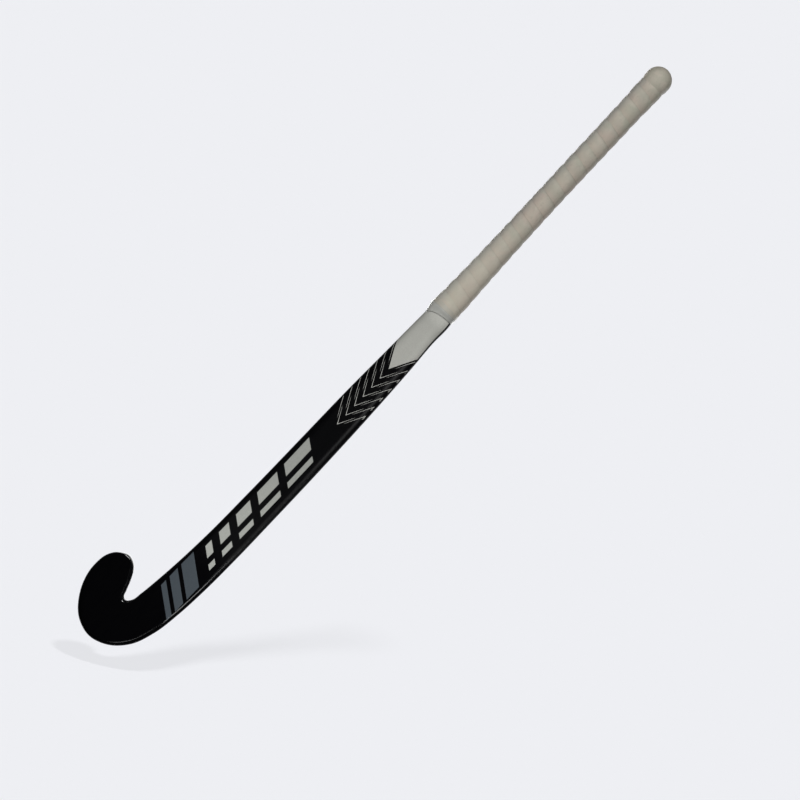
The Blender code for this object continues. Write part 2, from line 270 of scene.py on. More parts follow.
# Laminate body: rows of its outline in millimetres from the handle's axis, as the CAD has them.
# A row of the grip or shaft has its share of the stretch's height, its heel side and its toe side.
bodySizes = {
    "top": 919 * mm,
    "gripRows": [(1.0, 11.4, -10.8), (0.84, 11.3, -11.3), (0.44, 10.8, -11.3), (0.24, 11.8, -11.6),
                 (0.13, 12.9, -12.3), (0.05, 13.9, -13.2), (0.0, 14.2, -14.0)],
    "shaftRows": [(0.985, 16.8, -14.4), (0.97, 17.5, -14.6), (0.92, 17.1, -15.2), (0.835, 18.8, -16.3),
                  (0.65, 21.2, -18.6), (0.46, 22.1, -19.6), (0.275, 22.3, -20.4), (0.135, 22.7, -21.0),
                  (0.0, 21.7, -23.9)],
    "hookRows": [((19.2, 88.0), (-26.4, 96.0)), ((13.8, 54.0), (-28.8, 77.0)), ((2.7, 26.0), (-31.6, 63.6)),
                 ((-17.4, 6.6), (-34.8, 59.8)), ((-40.0, 0.0), (-37.7, 58.9)), ((-62.0, 7.2), (-40.6, 60.8)),
                 ((-79.7, 26.3), (-43.4, 67.6)), ((-91.0, 63.0), (-47.6, 79.0)),
                 ((-87.4, 84.0), (-52.4, 88.8)), ((-79.6, 93.9), (-58.4, 95.4))],
    "toeTip": (-67.5, 98.9),
    "rowSteps": [4, 12, 7, 5, 5, 4] + [4, 4, 6, 8, 12, 10, 12, 10, 12] + [7] * 9 + [9, 14],
    "depth": [(0.9, 25.5), (1.0, 26.4), (1.06, 27.2), (1.36, 25.5), (1.78, 23.5), (2.0, 22.0), (2.8, 19.5)],
    "rim": [(1.0, 12.7), (1.12, 10.5), (1.36, 8.5), (1.78, 7.5), (2.0, 6.5), (2.8, 6.0)],
    "edge": [(1.0, 16.0), (1.17, 11.0), (1.45, 8.5), (1.82, 7.0), (2.0, 5.0), (2.8, 4.5)],
    "setback": [(1.0, 2.9), (1.05, 0.0)],
    "fullness": [(1.0, 2.0), (1.36, 2.3), (2.8, 2.4)],
    "crispness": [(1.0, 2.0), (1.8, 2.0), (1.93, 1.45), (2.8, 1.6)],  # of the face's edge, 2 is round
    "tipRounding": 15 * mm,
    "backSteps": 18,  # on each side of the back's middle
    "cornerSteps": 12,
    "faceSteps": 12,
}


def smoothThrough(points, steps, after):
    chain = [points[0] * 2 - points[1]] + points + [after]
    lengths = [(b - a).length for a, b in zip(chain, chain[1:])]
    slopes = [(b - a) / d for a, b, d in zip(chain, chain[1:], lengths)]
    tangents = []
    for i in range(len(points)):
        d0, d1, s0, s1 = lengths[i], lengths[i + 1], slopes[i], slopes[i + 1]
        tangent = (s1 * d0 + s0 * d1) / (d0 + d1)
        for k in range(2):
            if s0[k] * s1[k] > 0:
                limit = 3 * min(abs(s0[k]), abs(s1[k]))
                tangent[k] = max(-limit, min(limit, tangent[k]))
        tangents.append(tangent)
    path = []
    for i, count in enumerate(steps):
        a, b, span = points[i], points[i + 1], lengths[i + 1]
        for j in range(count):
            t = j / count
            path.append(a * (2 * t**3 - 3 * t**2 + 1) + b * (3 * t**2 - 2 * t**3)
                        + tangents[i] * span * (t**3 - 2 * t**2 + t) + tangents[i + 1] * span * (t**3 - t**2))
    path.append(points[-1])
    return path


def stationOf(travelled, total):
    marks = [0.0, bodySizes["top"] - gripFoot, bodySizes["top"] - stickSizes["hookTop"], total]
    for i, (start, end) in enumerate(zip(marks, marks[1:])):
        if travelled <= end:
            return i + (travelled - start) / (end - start)
    return 3.0


class Slice:
    # One cross section of the body, from its heel side edge to its toe side edge
    def __init__(self, heelEdge, toeEdge, station, pastBottom, tipDistance):
        self.middle = (heelEdge + toeEdge) / 2
        self.half = (heelEdge - toeEdge).length / 2
        self.across = (heelEdge - toeEdge).normalized()
        self.pastBottom = pastBottom
        for name in ("setback", "rim", "depth", "edge"):
            setattr(self, name, readProfile(bodySizes[name], station) * mm)
        self.fullness = readProfile(bodySizes["fullness"], station)
        self.crispness = readProfile(bodySizes["crispness"], station)
        closing = min(tipDistance / bodySizes["tipRounding"], 1.0)
        self.backScale = math.sqrt(1 - (1 - closing) ** 2)
        closing = min(tipDistance / self.edge, 1.0)
        self.faceScale = math.sqrt(1 - (1 - closing) ** 2)

    def spot(self, reach, deep):
        place = self.middle + self.across * reach
        bow = 0.0 if self.pastBottom else bowAt(place.y)
        return Vector((place.x, bow + self.setback + deep, place.y))

    def ring(self):
        # Round from the middle of the back over the heel side, the face and the toe side
        backSteps, cornerSteps, faceSteps = (bodySizes[k] for k in ("backSteps", "cornerSteps", "faceSteps"))
        edge = min(self.edge, self.half)
        face = self.rim - self.rim * self.faceScale
        back = self.rim + (self.depth - self.rim) * self.backScale
        heelHalf = []
        for i in range(backSteps):
            turn = math.pi / 2 * i / backSteps
            reach = self.half * math.sin(turn) ** (2 / self.fullness)
            heelHalf.append((reach, self.rim + (back - self.rim) * math.cos(turn) ** (2 / self.fullness)))
        for i in range(cornerSteps):
            turn = math.pi / 2 * (1 - i / cornerSteps)
            power = 2 / self.crispness
            reach = self.half - edge + edge * math.sin(turn) ** power
            heelHalf.append((reach, self.rim - (self.rim - face) * math.cos(turn) ** power))
        flat = self.half - edge
        faceRow = [(flat * (1 - 2 * i / faceSteps), face) for i in range(faceSteps + 1)]
        outline = heelHalf + faceRow + [(-reach, deep) for reach, deep in reversed(heelHalf)]
        return [self.spot(reach, deep) for reach, deep in outline]


def bodySlices():
    rows = []
    stretches = ((gripFoot, bodySizes["top"], "gripRows"), (stickSizes["hookTop"], gripFoot, "shaftRows"))
    for foot, top, stretch in stretches:
        for share, heel, toe in bodySizes[stretch]:
            height = foot + (top - foot) * share
            rows.append((Vector((heel * mm, height)), Vector((toe * mm, height))))
    rows += [(Vector(heel) * mm, Vector(toe) * mm) for heel, toe in bodySizes["hookRows"]]
    tip = Vector(bodySizes["toeTip"]) * mm
    heelEdge = smoothThrough([heel for heel, toe in rows] + [tip], bodySizes["rowSteps"], rows[-1][1])
    toeEdge = smoothThrough([toe for heel, toe in rows] + [tip], bodySizes["rowSteps"], rows[-1][0])
    lowest = min(range(len(heelEdge)), key=lambda i: heelEdge[i].y)
    middles = [(heel + toe) / 2 for heel, toe in zip(heelEdge, toeEdge)]
    travelled = [0.0]
    for a, b in zip(middles, middles[1:]):
        travelled.append(travelled[-1] + (b - a).length)
    made = []
    for i in range(len(middles) - 1):
        station = stationOf(travelled[i], travelled[-1])
        made.append(Slice(heelEdge[i], toeEdge[i], station, i >= lowest, (tip - middles[i]).length))
    return made, Vector((tip.x, made[-1].rim, tip.y))


slices, tipSpot = bodySlices()

# Print on the face: a grey field with a V end, six chevrons of staggered strokes below it,
# and further down plain slanted bars, light grey and then slate.
printSizes = {
    "middle": 1.0,  # all in millimetres, across from the handle's axis and up from the hook
    "slope": 1.9,
    "fieldTip": 458.0,
    "fieldSoft": 0.25,  # half the ragged width of the field's edge
    "pitch": 14.4,
    "chevrons": 6,
    "strokeDrop": 4.5,
    "strokeHalf": 0.3,
    "strokeSoft": 0.15,
    "innerReach": 10.0,
    "outerReach": (5.5, 17.4),
    "returnPlace": 18.3,
    "returnLength": 5.0,
    "linesEnd": 18.5,
    "barTop": 328.0,
    "barLengths": [42.0, 33.0, 23.0, 16.0, 10.0],
    "barGap": 12.0,
    "barSlope": -0.75,
    "wideBar": (-13.5, -2.0),
    "narrowBar": (4.0, 9.5),
    "slateTop": 138.0,
    "slateLengths": [20.0, 13.0, 8.0],
    "slateSides": (-19.0, 14.0),
    "heelLimit": 0.3,  # where the print ends, as shares round the section from the middle of the back
    "toeLimit": 0.735,
    "fieldGrey": paint(164, 164, 158),
    "lineGrey": paint(172, 172, 167),
    "barGrey": paint(142, 144, 139),
    "slateGrey": paint(58, 64, 69),
    "towDark": paint(1, 1, 2),
    "towLight": paint(4, 4, 5),
    "paintedShadeFrom": 522.0,  # painted shade: the print is darkened a little beside the tape
    "paintedShadeTo": 540.0,
    "paintedShadeShare": 0.1,
    "headRough": 0.12,
    "shaftRough": 0.19,  # added up the shaft, whose lacquer is satin
    "shaftFrom": 120.0,
    "shaftTo": 200.0,
    "inkRough": 0.16,
}


def lacquerFinish():
    sizes = printSizes
    made = Finish("lacquered_laminate", {"IOR": 1.5, "Specular IOR Level": 0.16})
    place = made.objectPlace()
    x, y, z = made.axes(place)
    across = x * 1000 - sizes["middle"]
    height = z * 1000 + holdHeight / mm
    aside = abs(across)
    around = made.axes(made.node("UVMap", {"uv_map": "UVMap"}))[0]
    printed = made.between(around, sizes["heelLimit"], sizes["toeLimit"], 0.004)
    fine = made.grain(place, 900, 3, 0.6)

    # Grey field: above its V line, with a slightly ragged edge as screen ink has
    level = height - aside * sizes["slope"]
    tip, ragged = sizes["fieldTip"], sizes["fieldSoft"]
    field = made.rise(level, tip - ragged, tip + ragged) * printed

    def stroke(value, half):
        return 1 - made.rise(abs(value), half - sizes["strokeSoft"], half + sizes["strokeSoft"])

    thick = sizes["strokeHalf"] * math.hypot(1, sizes["slope"])
    pitch = sizes["pitch"]
    low = tip - pitch * sizes["chevrons"]
    inner = (level - low).join("WRAP", pitch / 2, -pitch / 2)
    innerOn = made.between(level, low - pitch / 2, tip - pitch / 2, 0.2)
    innerOn = innerOn * (1 - made.rise(aside, sizes["innerReach"] - 1.5, sizes["innerReach"] + 1.0))
    # Strokes thin out where they pass each other
    innerHalf = thick * (1.05 - aside * (0.75 / sizes["innerReach"]))
    outer = (level - (low - sizes["strokeDrop"])).join("WRAP", pitch / 2, -pitch / 2)
    outerLow = low - sizes["strokeDrop"] - pitch / 2
    outerOn = made.between(level, outerLow, outerLow + pitch * (sizes["chevrons"] + 1), 0.2)
    start, end = sizes["outerReach"]
    reach = made.rise(aside, start - 1.0, start + 1.0) * (1 - made.rise(aside, end - 0.2, end + 0.2))
    outerHalf = thick * (0.3 + (aside - start) * (0.7 / (end - start)))
    turned = stroke(across + sizes["middle"] - sizes["returnPlace"], sizes["strokeHalf"])
    turned = turned * made.between(outer, -sizes["returnLength"], thick * 0.8, 0.3) * outerOn
    lines = stroke(inner, innerHalf) * innerOn + stroke(outer, outerHalf) * outerOn * reach + turned
    lines = lines.join("MINIMUM", 1.0) * printed
    lines = lines * made.rise(across * -1, -sizes["linesEnd"], 0.3 - sizes["linesEnd"])

    def bars(top, lengths, gap, *sides):
        slanted = height - across * sizes["barSlope"]
        found = 0.0
        for length in lengths:
            found = made.between(slanted, top - length, top, 0.2) + found
            top = top - length - gap
        columns = 0.0
        for near, far in sides:
            columns = made.between(across, near, far, 0.2) + columns
        return found * columns * printed

    gap = sizes["barGap"]
    columns = (sizes["wideBar"], sizes["narrowBar"])
    lightBars = bars(sizes["barTop"], sizes["barLengths"], gap, *columns)
    slateBars = bars(sizes["slateTop"], sizes["slateLengths"], gap * 0.5, sizes["slateSides"])

    # Lacquer over fibre: near black, with the tows showing faintly along the shaft
    tows = made.grain(made.stretched(place, 1.0, 1.0, 0.06), 700, 2, 0.55)
    colour = made.tint(tows, sizes["towDark"], sizes["towLight"])
    speckle = made.rise(fine, 0.3, 0.7)
    # painted shade on the print beside the tape, where the face turns up to the light
    paintedShade = made.rise(height, sizes["paintedShadeFrom"], sizes["paintedShadeTo"])
    inkShade = (0.93 + speckle * 0.1) * (1 - paintedShade * sizes["paintedShadeShare"])
    greys = ((field, "fieldGrey"), (lines, "lineGrey"), (lightBars, "barGrey"), (slateBars, "slateGrey"))
    for mask, grey in greys:
        ink = made.node("VectorMath", {"operation": "SCALE"}, {0: sizes[grey][:3], "Scale": inkShade})
        colour = made.tint(mask, colour, ink)
    inked = (field + lines + lightBars + slateBars).join("MINIMUM", 1.0)
    smudge = made.grain(place, 24, 3, 0.6)
    satin = made.rise(height, sizes["shaftFrom"], sizes["shaftTo"])
    rough = sizes["headRough"] + smudge * 0.06 + tows * 0.06
    rough = rough + inked * sizes["inkRough"] + satin * sizes["shaftRough"]
    made.drive("Base Color", colour)
    made.drive("Roughness", rough)
    peel = made.bump(made.grain(place, 90, 1.5), 0.012 * mm)
    inkEdge = made.bump(inked + tows * 0.06, 0.015 * mm, 1.0, peel)
    made.drive("Normal", inkEdge)
    return made


def makeBody():
    rings = [one.ring() for one in slices] + [[tipSpot] * len(slices[0].ring())]
    body = rolledSkin("laminate_body", len(rings[0]) - 1, len(rings) - 1, lambda i, j: rings[j][i])
    finishPiece(body, lacquerFinish(), "lacquered_laminate", "composite_shell", sharp=60)
    print("laminate body made", len(body.data.polygons), "faces")


makeBody()


# Handle pieces follow an oval round the laminate's handle
upperSlices = [one for one in slices if not one.pastBottom]


def handleOval(height):
    for above, below in zip(upperSlices, upperSlices[1:]):
        if height >= below.middle.y:
            break
    t = (above.middle.y - height) / (above.middle.y - below.middle.y)

    def blended(name):
        return getattr(above, name) + (getattr(below, name) - getattr(above, name)) * t
    middleX = above.middle.x + (below.middle.x - above.middle.x) * t
    front = bowAt(height) + blended("setback")
    return middleX, blended("half"), front, front + blended("rim"), front + blended("depth")


def handleSpot(height, angle, offset):
    middleX, half, front, rim, back = handleOval(height)
    side, up = math.cos(angle), math.sin(angle)
    reach = (back - rim + offset) if up > 0 else (rim - front + offset)
    return Vector((middleX + (half + offset) * side, rim + reach * up, height))


gripSizes = {
    "underlay": 0.8 * mm,
    "strip": 1.5 * mm,
    "pitch": 18.0 * mm,
    "lap": 1.3 * mm,  # how far each turn's lower edge reaches over the turn below
    "lapThickness": 0.09 * mm,
    "crown": 0.55 * mm,
    "runOut": 7 * mm,  # the crown fades over this length, so the last turn meets the cap flush
    "firstSeam": 855.7 * mm,
    "top": 901 * mm,
    "foot": gripFoot,
    "swell": 1.0 * mm,
    "swellStart": 858 * mm,
    "swellEnd": 897 * mm,
    "stepsPerTurn": 96,
    "least": 2.0 * mm,
    "skirtFoot": 862 * mm,
    "inset": 0.15 * mm,  # these shape the strip's section, from its lower to its upper edge
    "nose": 0.1 * mm,
    "noseDrop": 0.05 * mm,
    "shoulder": 0.5 * mm,
    "climb": 2.2 * mm,
    "fall": 5.0 * mm,
    "dip": 2.8 * mm,
    "tuck": 0.04 * mm,
    "sectionSteps": 15,
    "wander": 0.5 * mm,  # of the free edge along the stick
    "stand": 0.3 * mm,  # of the free edge off the turn below
    "uneven": 0.16 * mm,
    "worn": paint(172, 168, 156),
    "clean": paint(184, 178, 165),
    "warmPatch": paint(182, 167, 156),
    "greenPatch": paint(166, 168, 152),
    "lapEdge": paint(184, 170, 157),
    "soil": paint(146, 141, 129),
    # painted shade in the seams between turns
    "seamShade": paint(128, 121, 108),
    "paleFoot": paint(196, 190, 175),
    # painted shade on the grip's toe side
    "toeSideShade": paint(160, 165, 164),
}


def underWrap(height):
    start, end = gripSizes["swellStart"], gripSizes["swellEnd"]
    swelling = gripSizes["swell"] * ease((height - start) / (end - start))
    return stickSizes["fitGap"] + gripSizes["underlay"] + swelling


def gripFinish():
    sizes = gripSizes
    steps = sizes["sectionSteps"]
    made = Finish("grip_strip", {"Specular IOR Level": 0.08})
    place = made.objectPlace()
    across = made.axes(made.node("UVMap", {"uv_map": "UVMap"}))[0]
    cloud = made.grain(made.stretched(place, 1.0, 1.0, 0.7), 75, 3, 0.6)
    blush = made.grain(place, 42, 2, 0.5, 0.6)
    base = made.tint(made.rise(cloud, 0.35, 0.68), sizes["worn"], sizes["clean"])
    base = made.tint(made.rise(blush, 0.5, 0.7) * 0.6, base, sizes["warmPatch"])
    base = made.tint(made.rise(blush, 0.5, 0.3) * 0.5, base, sizes["greenPatch"])
    drift = made.between(across, 3.0 / steps, 6.5 / steps, 0.1)  # a little warmer along the lapping edge
    base = made.tint(drift * 0.5, base, sizes["lapEdge"])
    handled = made.grain(place, 260, 4, 0.65)
    base = made.tint(made.rise(handled, 0.52, 0.74) * 0.3, base, sizes["soil"])
    valley = made.between(across, 9.2 / steps, 12.2 / steps, 0.07) * made.rise(blush, 0.3, 0.6)
    base = made.tint(valley * 0.36, base, sizes["seamShade"])  # painted shade where one turn dips under the next
    x, y, z = made.axes(place)
    base = made.tint(made.rise(z, -0.02, -0.16) * 0.45, base, sizes["paleFoot"])  # down the grip
    base = made.tint(made.rise(x, -0.003, -0.013) * 0.35, base, sizes["toeSideShade"])  # painted shade: cooler and a little darker toward the toe side
    made.drive("Base Color", base)
    made.drive("Roughness", 0.62 + handled * 0.14)
    pores = made.node("TexVoronoi", {"feature": "F1"}, {"Vector": place, "Scale": 1500.0})
    crease = made.grain(made.stretched(place, 1.0, 1.0, 1.6), 420, 3, 0.6)
    skin = made.bump(pores, 0.02 * mm, 0.6)
    made.drive("Normal", made.bump(crease, 0.05 * mm, 0.6, skin))
    return made


def makeGrip():
    sizes = gripSizes
    pitch, thick, perTurn = sizes["pitch"], sizes["strip"], sizes["stepsPerTurn"]
    lap, thin, crown = sizes["lap"], sizes["lapThickness"], sizes["crown"]
    inset, nose, tuck = sizes["inset"], sizes["nose"], sizes["tuck"]
    half = pitch / 2
    down = sizes["firstSeam"] + pitch / 2 - sizes["foot"] + half - sizes["least"]
    up = sizes["top"] - sizes["firstSeam"] - pitch / 2 + half - sizes["least"]
    firstStep = -math.floor(down / pitch * perTurn)
    lastStep = math.floor(up / pitch * perTurn)

    def profile(low, high):
        # From the underside over the lapping lower edge, the crowned face and the tucked upper edge
        under = thick - thin
        middle = (low + high) / 2
        return [(low + inset, 0.0), (low + inset, under), (low - lap, under),
                (low - lap - nose, under + thin * 0.4), (low - lap, thick - sizes["noseDrop"]),
                (low - lap + sizes["shoulder"], thick), (low + sizes["climb"], thick + crown * 0.6),
                (middle, thick + crown), (high - sizes["fall"], thick + crown * 0.7),
                (high - sizes["dip"], thick - thin * 0.1), (high - lap - 2 * inset, under - tuck / 2),
                (high - lap * 0.7, under - tuck), (high, under - tuck), (high, 0.0),
                (middle, 0.0), (low + inset, 0.0)]

    def stripSpot(i, j):
        turned = 2 * math.pi * (firstStep + j) / perTurn
        angle = -math.pi / 2 - turned
        middle = sizes["firstSeam"] + pitch * (turned / (2 * math.pi) + 0.5)
        height, lift = profile(middle - half, middle + half)[i]
        if 2 <= i <= 5:  # the free edge wanders a little and stands up here and there
            height += noise.noise(Vector((turned * 0.9, 7.0, 1.5))) * sizes["wander"]
            lift += max(noise.noise(Vector((turned * 0.7, 2.0, 9.5))) - 0.1, 0.0) * sizes["stand"]
        height = min(max(height, sizes["foot"]), sizes["top"])
        fade = ease((height - sizes["top"] + sizes["runOut"]) / sizes["runOut"])
        lift -= max(lift - thick, 0.0) * fade
        spot = Vector((math.cos(angle), math.sin(angle), height * 40))
        if 1 <= i <= 12:
            lift += noise.noise(spot * 1.7) * sizes["uneven"]
        return handleSpot(height, angle, underWrap(height) + stickSizes["fitGap"] + lift)

    strip = rolledSkin("grip_strip", sizes["sectionSteps"], lastStep - firstStep, stripSpot)
    finishPiece(strip, gripFinish(), "grip_strip", "grip_wrap", sharp=50)
    print("grip strip wound", len(strip.data.polygons), "faces")


makeGrip()


# Thin cushion sleeve under the strip, seen only in its seams
sleeveSizes = {
    "around": 48,
    "rows": 40,
    "dimple": 0.05 * mm,
    "dark": paint(92, 90, 84),
    "light": paint(118, 115, 107),
}


def sleeveFinish():
    made = Finish("underlay_foam", {"Specular IOR Level": 0.15})
    place = made.objectPlace()
    cells = made.node("TexVoronoi", {"feature": "F1"}, {"Vector": place, "Scale": 1100.0})
    made.drive("Base Color", made.tint(cells, sleeveSizes["dark"], sleeveSizes["light"]))
    made.drive("Roughness", 0.85 + cells * 0.1)
    made.drive("Normal", made.bump(cells, 0.08 * mm))
    return made


def makeSleeve():
    top, foot = gripSizes["skirtFoot"] - stickSizes["fitGap"], gripSizes["foot"]
    around, rows = sleeveSizes["around"], sleeveSizes["rows"]

    def sleeveSpot(i, j):
        angle = 2 * math.pi * i / around
        inside = j > rows
        row = 2 * rows + 1 - j if inside else j
        height = top + (foot - top) * row / rows
        dimple = noise.noise(Vector((math.cos(angle) * 3, math.sin(angle) * 3, height * 90)))
        offset = stickSizes["fitGap"] if inside else underWrap(height) + dimple * sleeveSizes["dimple"]
        return handleSpot(height, angle, offset)

    sleeve = rolledSkin("cushion_sleeve", around, 2 * rows + 1, sleeveSpot, closed=False)
    bridgeRims()
    finishPiece(sleeve, sleeveFinish(), "underlay_foam", "grip_underlay")
    print("cushion sleeve made")


makeSleeve()


# Finishing tape: over the last turn, then drawn in to the bare shaft and swept down toward the toe side
tapeSizes = {
    "lap": 6 * mm,
    "thickness": 0.3 * mm,
    "reachToe": 15 * mm,
    "reachHeel": 6.5 * mm,
    "sweep": 3,
    "around": 96,
    "rows": 20,
    "pucker": 0.1 * mm,
    "dark": paint(167, 168, 163),
    "light": paint(180, 180, 174),
    "overStrip": paint(176, 171, 158),  # the strip's colour shows through the tape
    # the crease colour is painted shade along the fold over the strip's end
    "crease": paint(120, 118, 110),
    "hemShadow": paint(92, 90, 84),  # painted shadow line where it ends on the shaft
}


def tapeFinish():
    sizes = tapeSizes
    foot = gripFoot / mm
    made = Finish("tape", {"Specular IOR Level": 0.35})
    place = made.objectPlace()
    along = made.axes(made.node("UVMap", {"uv_map": "UVMap"}))[1]
    stretch = made.grain(made.stretched(place, 1.0, 1.0, 0.25), 320, 3, 0.6)
    base = made.tint(stretch, sizes["dark"], sizes["light"])
    height = made.axes(place)[2] * 1000 + holdHeight / mm
    overStrip = made.rise(height, foot - 1.0, foot + 1.0)
    base = made.tint(overStrip * 0.8, base, sizes["overStrip"])
    # painted shade along the fold where the tape passes over the strip's end
    crease = made.between(height, foot - 0.6, foot + 0.1, 0.3)
    base = made.tint(crease * 0.25, base, sizes["crease"])
    # painted shadow along the tape's lower edge
    hemShadow = made.between(along, 0.462, 0.5, 0.014)
    base = made.tint(hemShadow * 0.18, base, sizes["hemShadow"])
    made.drive("Base Color", base)
    made.drive("Roughness", 0.5 + stretch * 0.15)
    made.drive("Normal", made.bump(stretch, 0.06 * mm, 0.7))
    return made


def makeTape():
    sizes = tapeSizes
    rows = sizes["rows"]
    wrapEnd = gripFoot - stickSizes["fitGap"]
    top = gripFoot + sizes["lap"]
    overWrap = underWrap(gripFoot) + gripSizes["strip"] + 2 * stickSizes["fitGap"]

    def tapeSpot(i, j):
        angle = 2 * math.pi * i / sizes["around"]
        inside = j > rows
        row = 2 * rows + 1 - j if inside else j
        share = -1 + 2 * row / rows
        towardToe = ((1 - math.cos(angle)) / 2) ** sizes["sweep"]
        reach = sizes["reachHeel"] + (sizes["reachToe"] - sizes["reachHeel"]) * towardToe
        if share <= 0:
            height = wrapEnd - (top - wrapEnd) * share
            offset = overWrap
        else:
            height = wrapEnd - (reach - stickSizes["fitGap"]) * share
            offset = overWrap + (stickSizes["fitGap"] - overWrap) * ease(share)
        if not inside:
            edge = 1 - (2 * row / rows - 1) ** 8
            pucker = noise.noise(Vector((math.cos(angle) * 4, math.sin(angle) * 4, height * 260)))
            offset += sizes["thickness"] * (0.35 + 0.65 * edge) + pucker * sizes["pucker"] * edge
        return handleSpot(height, angle, offset)

    tape = rolledSkin("finish_tape", sizes["around"], 2 * rows + 1, tapeSpot, closed=False)
    bridgeRims()
    finishPiece(tape, tapeFinish(), "tape", "finishing_tape")
    print("finishing tape made")


makeTape()


# Butt cap: dome, rim, neck and the skirt under the strip
capSizes = {
    "knobRadius": 16.0 * mm,
    "shoulder": 904.5 * mm,
    "around": 72,
    "domeSteps": 22,
    "rimHeight": 1.5 * mm,
    "rimRoll": 0.3 * mm,
    "seat": 0.05 * mm,  # between the strip's top and the ring above it
    "skirtRows": range(894, 861, -4),  # heights in millimetres
    "worn": paint(172, 169, 155),
    "clean": paint(184, 177, 164),
    "speck": paint(140, 136, 126),
}


def capFinish():
    made = Finish("cap_rubber", {"Specular IOR Level": 0.1})
    place = made.objectPlace()
    cloud = made.grain(place, 90, 3, 0.6)
    base = made.tint(made.rise(cloud, 0.3, 0.7), capSizes["worn"], capSizes["clean"])
    specks = made.grain(place, 700, 2, 0.6)
    base = made.tint(made.rise(specks, 0.56, 0.75) * 0.4, base, capSizes["speck"])
    made.drive("Base Color", base)
    made.drive("Roughness", 0.6 + cloud * 0.12)
    made.drive("Normal", made.bump(specks, 0.02 * mm, 0.6))
    return made


def makeCap():
    sizes = capSizes
    top, radius = stickSizes["length"], sizes["knobRadius"]
    rimReach = radius - handleOval(bodySizes["top"])[1]
    domeFoot = top - radius
    rows = []
    for step in range(sizes["domeSteps"] + 1):
        turn = math.pi / 2 * step / sizes["domeSteps"]
        rows.append((domeFoot + radius * math.cos(turn), rimReach - radius * (1 - math.sin(turn))))
    neck = underWrap(gripSizes["top"])
    gap = stickSizes["fitGap"]
    shoulder, roll = sizes["shoulder"], sizes["rimRoll"]
    rows += [(shoulder + sizes["rimHeight"], rimReach - roll / 5), (shoulder, rimReach - roll)]
    stripTop = gripSizes["top"] + sizes["seat"]
    rows += [(stripTop, neck + gripSizes["strip"]), (stripTop, neck)]
    rows += [(height * mm, underWrap(height * mm)) for height in sizes["skirtRows"]]
    skirtFoot = gripSizes["skirtFoot"]
    rows += [(skirtFoot, underWrap(skirtFoot)), (skirtFoot, gap), (bodySizes["top"] + gap, gap)]

    def capSpot(i, j):
        height, offset = rows[j]
        if j == 0:  # the dome's pole
            oval = handleOval(height)
            return Vector((oval[0], (oval[2] + oval[4]) / 2, height))
        return handleSpot(height, 2 * math.pi * i / sizes["around"], offset)

    cap = rolledSkin("butt_knob", sizes["around"], len(rows) - 1, capSpot)
    finishPiece(cap, capFinish(), "cap_rubber", "butt_cap", sharp=50)
    print("butt knob made")


makeCap()


# Pieces inside keep their CAD solids and get their own finishes
innerColours = {
    "plug": (paint(118, 118, 114), paint(142, 141, 136)),
    "damper": (paint(36, 36, 38), paint(62, 62, 64)),
    "core": (paint(222, 206, 160), paint(206, 184, 132)),
    "coreCell": paint(170, 146, 98),
}


def plugFinish():
    made = Finish("plug_plastic", {"Specular IOR Level": 0.4})
    place = made.objectPlace()
    swirl = made.grain(made.stretched(place, 1.0, 1.0, 0.3), 160, 3, 0.6, 1.2)
    made.drive("Base Color", made.tint(swirl, *innerColours["plug"]))
    made.drive("Roughness", 0.42 + swirl * 0.2)
    made.drive("Normal", made.bump(made.grain(place, 1400, 2), 0.03 * mm))
    return made


def damperFinish():
    made = Finish("damper_rubber", {"Specular IOR Level": 0.3})
    place = made.objectPlace()
    bloom = made.grain(place, 120, 3, 0.65)
    made.drive("Base Color", made.tint(bloom, *innerColours["damper"]))
    made.drive("Roughness", 0.68 + bloom * 0.2)
    made.drive("Normal", made.bump(made.grain(place, 900, 2), 0.05 * mm))
    return made


def coreFinish():
    made = Finish("core_foam", {"Specular IOR Level": 0.2})
    place = made.objectPlace()
    cells = made.node("TexVoronoi", {"feature": "SMOOTH_F1"}, {"Vector": place, "Scale": 620.0})
    aged = made.grain(place, 45, 3)
    base = made.tint(aged, *innerColours["core"])
    made.drive("Base Color", made.tint(made.rise(cells, 0.35, 0.75), base, innerColours["coreCell"]))
    made.drive("Roughness", 0.82 + cells * 0.1)
    made.drive("Normal", made.bump(cells, 0.3 * mm, 0.8))
    return made


innerFinishes = {"handle_plug": plugFinish, "damping_insert": damperFinish, "head_core": coreFinish}
for nodeName, finishOf in innerFinishes.items():
    nodes[nodeName].data.materials.clear()
    nodes[nodeName].data.materials.append(finishOf().material)
print("inner pieces finished")


# Camera: far off with a long lens, a little toward the heel side, and rolled as the photograph is
cameraSizes = {
    "azimuth": 6.0,
    "roll": 43.17,
    "lens": 200.0,
    "sensor": 36.0,
    "frameWidth": 919 * mm,
    "farthest": 60,
    "centre": (34.65 * mm, 22 * mm, 441.0 * mm),  # to the heel side of the axis, back from the face, up
}
turn = math.radians(cameraSizes["azimuth"])
towardCamera = Vector((math.sin(turn), -math.cos(turn), 0))
rightward = Vector((math.cos(turn), math.sin(turn), 0))
aside, back, height = cameraSizes["centre"]
centre = rightward * aside + Vector((0, back, height - holdHeight))
distance = cameraSizes["frameWidth"] * cameraSizes["lens"] / cameraSizes["sensor"]
roll = math.radians(cameraSizes["roll"])
upward = Vector((0, 0, 1)) * math.cos(roll) - rightward * math.sin(roll)
sideward = rightward * math.cos(roll) + Vector((0, 0, 1)) * math.sin(roll)
camera = bpy.data.objects.new("camera", bpy.data.cameras.new("camera"))
bpy.context.scene.collection.objects.link(camera)
camera.data.lens = cameraSizes["lens"]
camera.data.sensor_width = cameraSizes["sensor"]
camera.data.clip_end = cameraSizes["farthest"]
camera.location = centre + towardCamera * distance
matrix = camera.matrix_world.to_3x3()
for i in range(3):
    matrix[i][0], matrix[i][1], matrix[i][2] = sideward[i], upward[i], towardCamera[i]
camera.rotation_mode = "QUATERNION"
camera.rotation_quaternion = matrix.to_quaternion()
bpy.context.scene.camera = camera

